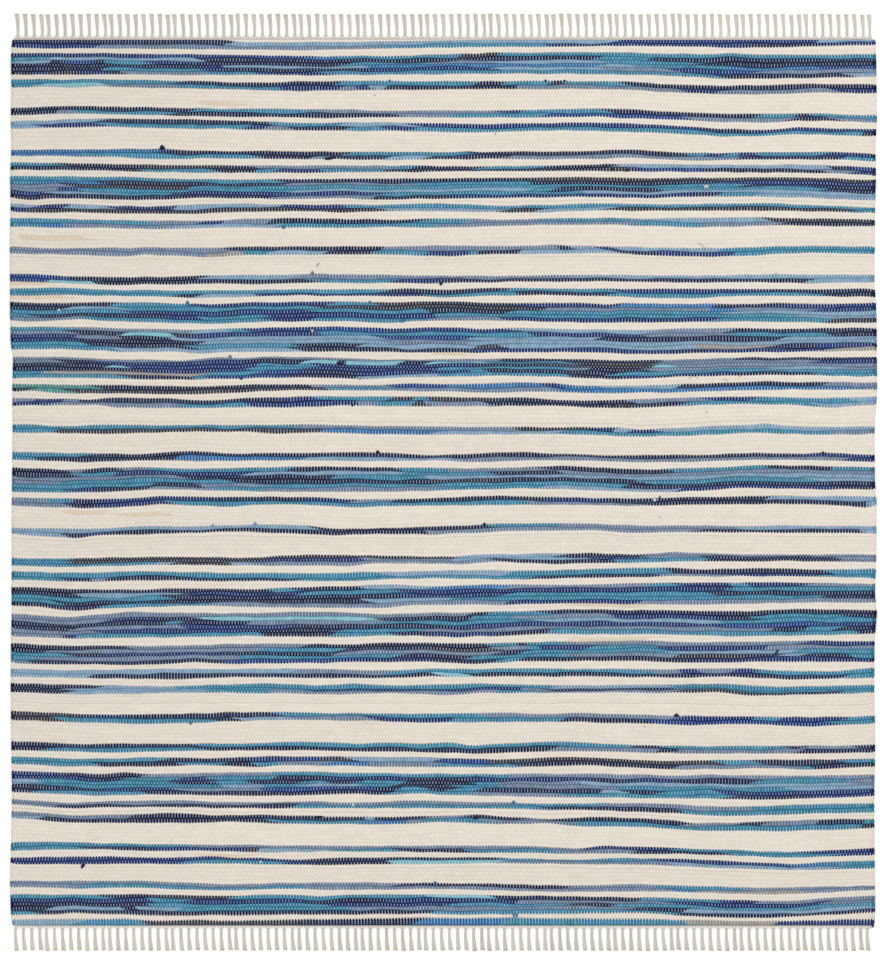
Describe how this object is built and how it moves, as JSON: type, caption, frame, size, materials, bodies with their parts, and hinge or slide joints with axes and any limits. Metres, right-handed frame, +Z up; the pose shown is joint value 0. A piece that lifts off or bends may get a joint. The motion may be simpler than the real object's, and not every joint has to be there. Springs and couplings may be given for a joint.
{
  "type": "handwoven rag rug",
  "caption": "Square flat-woven cotton rag rug in irregular blue and cream stripes, with a raised rib for each weft row and a short fringe along both ends.",
  "frame": {"origin": "on the floor under the middle of the rug", "axes": "+Z up out of the face, +X along the weft rows, +Y along the warp towards the far fringe"},
  "size_m": [1.8385, 1.9926, 0.0064],
  "materials": {
    "rag_weft": "matt handwoven cotton rag in blues and cream",
    "warp_yarn": "matt natural cream cotton yarn"
  },
  "bodies": {
    "root": {"woven_cloth": "rag_weft", "fringe_far": "warp_yarn", "fringe_near": "warp_yarn"}
  },
  "joints": []
}
